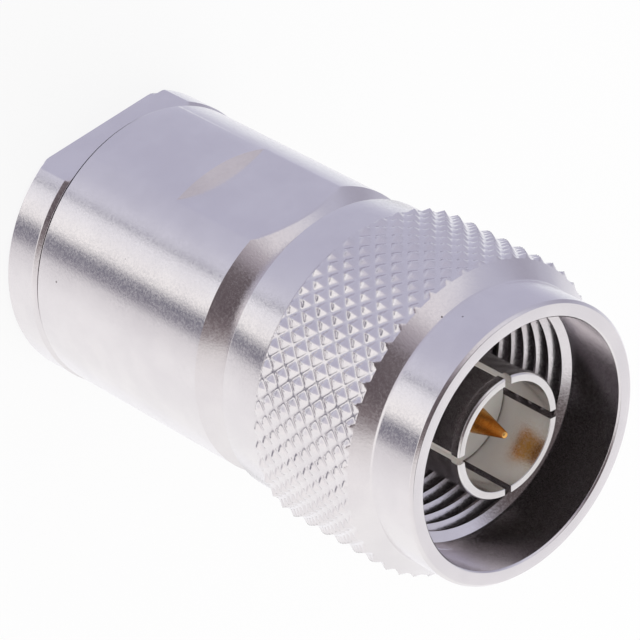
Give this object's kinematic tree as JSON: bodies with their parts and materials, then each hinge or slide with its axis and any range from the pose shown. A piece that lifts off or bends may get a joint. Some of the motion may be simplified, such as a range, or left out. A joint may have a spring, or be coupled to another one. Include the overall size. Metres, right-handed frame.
{
  "type": "n type connector",
  "caption": "Coaxial plug with a diamond-knurled coupling nut, slotted outer contact, centre pin, wrench-flatted body and a screw-in rear clamp nut.",
  "frame": {"origin": "centre of the flat rear face of the clamp nut", "axes": "+Z along the mating axis, from the cable entry to the open front; +X out of one of the wrench flats of the body"},
  "size_m": [0.0206, 0.0206, 0.0364],
  "materials": {
    "clamp_nut": "satin nickel plate",
    "body_shell": "satin nickel plate",
    "coupling_nut": "satin nickel plate",
    "outer_contact": "satin white-bronze plate",
    "centre_contact": "satin gold plate",
    "retaining_ring": "satin bronze",
    "thrust_washer": "satin",
    "braid_clamp": "satin nickel plate",
    "cable_gasket": "matte",
    "front_gasket": "matte silicone",
    "front_insulator": "waxy white",
    "rear_insulator": "waxy white"
  },
  "bodies": {
    "connector_body": {"body_shell": "body_shell", "outer_contact": "outer_contact", "centre_contact": "centre_contact", "front_insulator": "front_insulator", "rear_insulator": "rear_insulator", "front_gasket": "front_gasket", "retaining_ring": "retaining_ring", "cable_gasket": "cable_gasket", "braid_clamp": "braid_clamp"},
    "coupling_nut": {"coupling_nut": "coupling_nut"},
    "thrust_washer": {"thrust_washer": "thrust_washer"},
    "clamp_nut": {"clamp_nut": "clamp_nut"}
  },
  "joints": [
    {"name": "coupling_nut_turn", "type": "hinge", "parent": "connector_body", "child": "coupling_nut", "pos_m": [0, 0, 0.0285], "axis": [0, 0, 1], "continuous": true},
    {"name": "clamp_nut_travel", "type": "slide", "parent": "connector_body", "child": "thrust_washer", "axis": [0, 0, 1], "range_m": [-0.006, 0]},
    {"name": "clamp_nut_turn", "type": "hinge", "parent": "thrust_washer", "child": "clamp_nut", "pos_m": [0, 0, 0.005], "axis": [0, 0, 1], "range_deg": [-2160, 0]}
  ],
  "couplings": [
    {"joint": "clamp_nut_travel", "follows": "clamp_nut_turn", "m_per_rad": 0.00015915}
  ]
}
